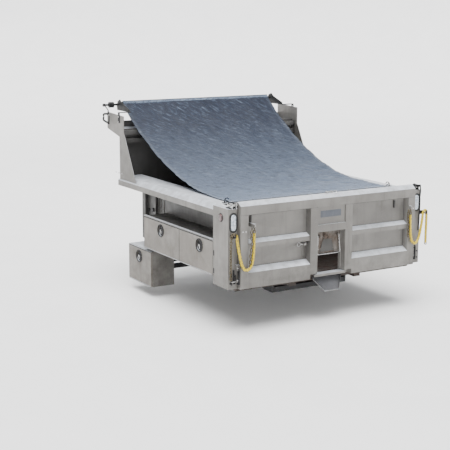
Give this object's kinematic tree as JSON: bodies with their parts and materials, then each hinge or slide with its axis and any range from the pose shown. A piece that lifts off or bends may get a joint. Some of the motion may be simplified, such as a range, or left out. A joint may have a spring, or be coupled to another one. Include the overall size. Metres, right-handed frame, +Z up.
{
  "type": "salt spreading dump body",
  "caption": "Tilting dump body with a salt chute, metering door and spill apron in its tailgate, side toolboxes, cab shield and roll tarp, on a hinged subframe.",
  "frame": {"origin": "centre of the underside of the subframe's rear crossmember, straight below the tilt hinge", "axes": "+Z up, +Y forward to the cab, +X to the right, rear of the body at -Y"},
  "size_m": [2.569, 2.932, 2.025],
  "materials": {
    "stainless": "dull mill finish, spotted by salt",
    "door_stainless": "dull, slightly warmer than the body",
    "black_steel": "semi-gloss black, worn",
    "weathered_steel": "brown with surface rust",
    "bright_steel": "bright plated",
    "tarp": "woven blue-grey mesh",
    "rubber": "matt black",
    "clear_lens": "clear ribbed lens",
    "red_lens": "dark red lens",
    "yellow_sleeve": "yellow plastic sleeve over a chain"
  },
  "bodies": {
    "subframe": {"subframe": "black_steel", "hinge_shaft": "bright_steel", "underbody_box_left": "stainless", "underbody_box_right": "stainless"},
    "hoist_barrel": {"hoist_barrel": "black_steel"},
    "hoist_rod": {"hoist_rod": "bright_steel"},
    "bed": {"bed_floor": "weathered_steel", "bulkhead": "stainless", "cab_shield": "stainless", "spill_apron": "stainless", "chute_lip": "stainless", "tarp": "tarp", "side_wall_left": "stainless", "top_rail_left": "stainless", "corner_post_left": "stainless", "shield_plate_left": "stainless", "toolbox_left": "stainless", "tarp_bracket_left": "black_steel", "tarp_hook_left": "black_steel", "tailgate_hinge_left": "black_steel", "chain_keeper_left": "black_steel", "light_grommet_left": "rubber", "light_lens_left": "clear_lens", "marker_light_left": "red_lens", "chain_left": "yellow_sleeve", "side_wall_right": "stainless", "top_rail_right": "stainless", "corner_post_right": "stainless", "shield_plate_right": "stainless", "toolbox_right": "stainless", "tarp_bracket_right": "black_steel", "tarp_hook_right": "black_steel", "tailgate_hinge_right": "black_steel", "chain_keeper_right": "black_steel", "light_grommet_right": "rubber", "light_lens_right": "clear_lens", "marker_light_right": "red_lens", "chain_right": "yellow_sleeve"},
    "tarp_roller": {"tarp_roller": "black_steel", "tarp_crank": "black_steel"},
    "tailgate": {"tailgate_frame": "stainless", "tailgate_pin_left": "bright_steel", "tailgate_pin_right": "bright_steel"},
    "chute_door": {"chute_door": "weathered_steel"},
    "door_handle": {"door_handle": "bright_steel"},
    "door_lock_pin": {"door_lock_pin": "bright_steel"},
    "latch_hook_left": {"latch_hook_left": "black_steel"},
    "rear_door_left": {"rear_door_left": "door_stainless"},
    "rear_door_latch_left": {"rear_door_latch_left": "bright_steel"},
    "front_door_left": {"front_door_left": "door_stainless"},
    "front_door_latch_left": {"front_door_latch_left": "bright_steel"},
    "underbody_door_left": {"underbody_door_left": "door_stainless"},
    "underbody_latch_left": {"underbody_latch_left": "bright_steel"},
    "latch_hook_right": {"latch_hook_right": "black_steel"},
    "rear_door_right": {"rear_door_right": "door_stainless"},
    "rear_door_latch_right": {"rear_door_latch_right": "bright_steel"},
    "front_door_right": {"front_door_right": "door_stainless"},
    "front_door_latch_right": {"front_door_latch_right": "bright_steel"},
    "underbody_door_right": {"underbody_door_right": "door_stainless"},
    "underbody_latch_right": {"underbody_latch_right": "bright_steel"}
  },
  "joints": [
    {"name": "bed_tilt", "type": "hinge", "parent": "subframe", "child": "bed", "pos_m": [0, 0, 0.19], "axis": [1, 0, 0], "range_deg": [0, 50]},
    {"name": "hoist_swing", "type": "hinge", "parent": "subframe", "child": "hoist_barrel", "pos_m": [0, 0.8, 0.09], "axis": [1, 0, 0], "range_deg": [0, 72.6]},
    {"name": "hoist_extension", "type": "slide", "parent": "hoist_barrel", "child": "hoist_rod", "axis": [0, 0.9911, 0.133], "range_m": [0, 0.5403]},
    {"name": "tarp_roller_turn", "type": "hinge", "parent": "bed", "child": "tarp_roller", "pos_m": [0, 2.434, 1.814], "axis": [1, 0, 0], "continuous": true},
    {"name": "tailgate_swing", "type": "hinge", "parent": "bed", "child": "tailgate", "pos_m": [0, -0.335, 1.04], "axis": [-1, 0, 0], "range_deg": [0, 75], "deforming": ["chain_left", "chain_right"]},
    {"name": "chute_door_slide", "type": "slide", "parent": "tailgate", "child": "chute_door", "axis": [0, 0, 1], "range_m": [-0.185, 0]},
    {"name": "door_handle_lift", "type": "hinge", "parent": "chute_door", "child": "door_handle", "pos_m": [0, -0.344, 0.63], "axis": [-1, 0, 0], "range_deg": [0, 80]},
    {"name": "door_lock_draw", "type": "slide", "parent": "tailgate", "child": "door_lock_pin", "axis": [-1, 0, 0], "range_m": [0, 0.025], "stiffness_N_per_m": 400},
    {"name": "latch_hook_left_turn", "type": "hinge", "parent": "bed", "child": "latch_hook_left", "pos_m": [-1.124, -0.38, 0.42], "axis": [-1, 0, 0], "range_deg": [0, 45]},
    {"name": "rear_door_left_hinge", "type": "hinge", "parent": "bed", "child": "rear_door_left", "pos_m": [-1.22, 0.303, 0.29], "axis": [0, -1, 0], "range_deg": [0, 90]},
    {"name": "rear_door_latch_left_turn", "type": "hinge", "parent": "rear_door_left", "child": "rear_door_latch_left", "pos_m": [-1.22, 0.226, 0.546], "axis": [1, 0, 0], "range_deg": [0, 90]},
    {"name": "front_door_left_hinge", "type": "hinge", "parent": "bed", "child": "front_door_left", "pos_m": [-1.22, 1.075, 0.29], "axis": [0, -1, 0], "range_deg": [0, 90]},
    {"name": "front_door_latch_left_turn", "type": "hinge", "parent": "front_door_left", "child": "front_door_latch_left", "pos_m": [-1.22, 1.083, 0.546], "axis": [1, 0, 0], "range_deg": [0, 90]},
    {"name": "underbody_door_left_hinge", "type": "hinge", "parent": "subframe", "child": "underbody_door_left", "pos_m": [-1.22, 1.605, -0.147], "axis": [0, -1, 0], "range_deg": [0, 90]},
    {"name": "underbody_latch_left_turn", "type": "hinge", "parent": "underbody_door_left", "child": "underbody_latch_left", "pos_m": [-1.22, 1.624, 0.157], "axis": [1, 0, 0], "range_deg": [0, 90]},
    {"name": "latch_hook_right_turn", "type": "hinge", "parent": "bed", "child": "latch_hook_right", "pos_m": [1.124, -0.38, 0.42], "axis": [-1, 0, 0], "range_deg": [0, 45]},
    {"name": "rear_door_right_hinge", "type": "hinge", "parent": "bed", "child": "rear_door_right", "pos_m": [1.22, 0.303, 0.29], "axis": [0, 1, 0], "range_deg": [0, 90]},
    {"name": "rear_door_latch_right_turn", "type": "hinge", "parent": "rear_door_right", "child": "rear_door_latch_right", "pos_m": [1.22, 0.226, 0.546], "axis": [1, 0, 0], "range_deg": [0, 90]},
    {"name": "front_door_right_hinge", "type": "hinge", "parent": "bed", "child": "front_door_right", "pos_m": [1.22, 1.075, 0.29], "axis": [0, 1, 0], "range_deg": [0, 90]},
    {"name": "front_door_latch_right_turn", "type": "hinge", "parent": "front_door_right", "child": "front_door_latch_right", "pos_m": [1.22, 1.083, 0.546], "axis": [1, 0, 0], "range_deg": [0, 90]},
    {"name": "underbody_door_right_hinge", "type": "hinge", "parent": "subframe", "child": "underbody_door_right", "pos_m": [1.22, 1.605, -0.147], "axis": [0, 1, 0], "range_deg": [0, 90]},
    {"name": "underbody_latch_right_turn", "type": "hinge", "parent": "underbody_door_right", "child": "underbody_latch_right", "pos_m": [1.22, 1.624, 0.157], "axis": [1, 0, 0], "range_deg": [0, 90]}
  ],
  "couplings": [
    {"joint": "hoist_swing", "follows": "bed_tilt", "ratio": 1.4504},
    {"joint": "hoist_extension", "follows": "bed_tilt", "m_per_rad": 0.619},
    {"joint": "latch_hook_right_turn", "follows": "latch_hook_left_turn", "ratio": 1}
  ]
}
